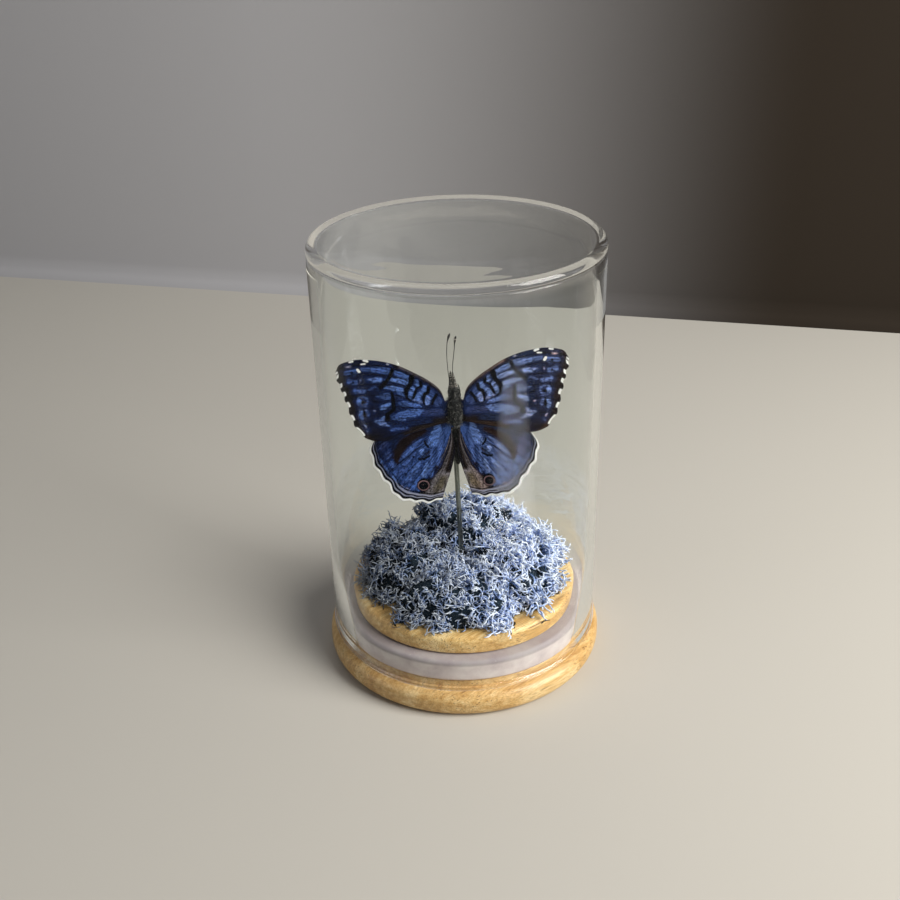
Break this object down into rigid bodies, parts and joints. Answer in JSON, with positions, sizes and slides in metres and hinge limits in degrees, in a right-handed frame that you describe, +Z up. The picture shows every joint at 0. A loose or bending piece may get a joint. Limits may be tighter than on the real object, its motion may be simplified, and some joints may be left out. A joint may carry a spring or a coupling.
{
  "type": "insect in glass dome",
  "caption": "Set blue butterfly on a thin rod over blue-grey dyed moss, under an upturned glass jar on a turned bamboo lid with a soft seal ring.",
  "frame": {"origin": "middle of the bamboo lid's underside, where the case stands", "axes": "+Z up along the jar's axis, -Y towards the viewer, who sees the butterfly's back; +X to the viewer's right"},
  "size_m": [0.068, 0.068, 0.106],
  "materials": {
    "bamboo": "golden bamboo with straight fibres and pores in the end grain, thin satin lacquer",
    "silicone": "cloudy silicone of a pale mauve grey, satin",
    "clear_glass": "clear blown glass, fire polished",
    "steel": "bright drawn rod",
    "insect_body": "black chitin under short grey-green hair",
    "forewing": "scaled, black with violet-blue bars, white spots and a white fringe",
    "hindwing": "scaled, violet blue between dark veins, banded margin, one eyespot, brown inner fold",
    "moss": "matt dyed branching moss, pale at the tips and dark inside"
  },
  "bodies": {
    "root": {"bamboo_base": "bamboo", "seal_ring": "silicone", "glass_dome": "clear_glass", "specimen_rod": "steel", "butterfly_body": "insect_body", "forewing_left": "forewing", "forewing_right": "forewing", "hindwing_left": "hindwing", "hindwing_right": "hindwing", "moss_tuft_left": "moss", "moss_tuft_front": "moss", "moss_tuft_right": "moss", "moss_tuft_back": "moss"}
  },
  "joints": []
}
